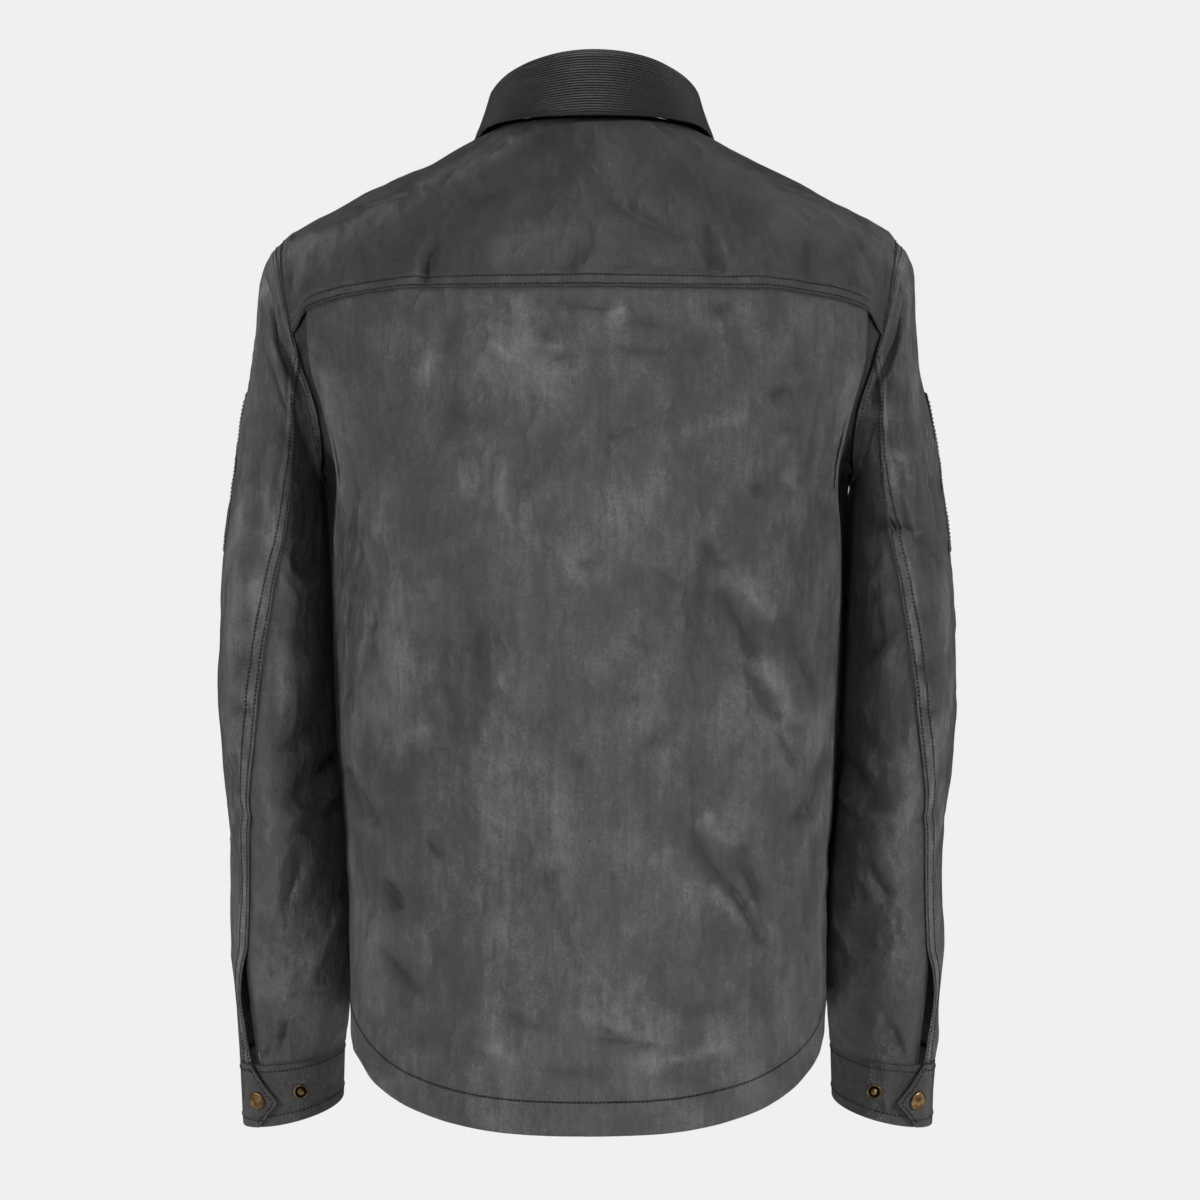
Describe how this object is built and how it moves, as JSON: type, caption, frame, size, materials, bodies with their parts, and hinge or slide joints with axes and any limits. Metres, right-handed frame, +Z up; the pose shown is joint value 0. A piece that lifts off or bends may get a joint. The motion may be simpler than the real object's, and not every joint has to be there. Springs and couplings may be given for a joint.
{
  "type": "waxed cotton jacket",
  "caption": "Waxed cotton jacket, held open in its worn shape with no wearer: corduroy collar, yoke, action-back pleats, press-stud cuffs and a curved back hem.",
  "frame": {"origin": "middle of the neck opening, level with the collar seam at the middle of the back", "axes": "+Z up, towards the collar; -Y to the wearer's front; +X to the wearer's left"},
  "size_m": [0.537, 0.2865, 0.78],
  "materials": {
    "waxed_cotton": "waxed cotton, dull sheen",
    "corduroy": "fine-wale corduroy",
    "brass": "antique brass"
  },
  "bodies": {
    "root": {"arm_patch_left": "waxed_cotton", "arm_patch_right": "waxed_cotton", "back_panel": "waxed_cotton", "back_yoke": "waxed_cotton", "collar_leaf": "corduroy", "collar_stand": "corduroy", "cuff_left": "waxed_cotton", "cuff_right": "waxed_cotton", "front_left": "waxed_cotton", "front_placket": "waxed_cotton", "front_right": "waxed_cotton", "pleat_inlay_left": "waxed_cotton", "pleat_inlay_right": "waxed_cotton", "sleeve_top_left": "waxed_cotton", "sleeve_top_right": "waxed_cotton", "sleeve_under_left": "waxed_cotton", "sleeve_under_right": "waxed_cotton", "snap_cap_cuff_left": "brass", "snap_cap_cuff_right": "brass", "snap_cap_front_1": "brass", "snap_cap_front_2": "brass", "snap_cap_front_3": "brass", "snap_cap_front_4": "brass", "snap_cap_front_5": "brass", "snap_cap_front_6": "brass", "snap_stud_cuff_left": "brass", "snap_stud_cuff_right": "brass"}
  },
  "joints": []
}
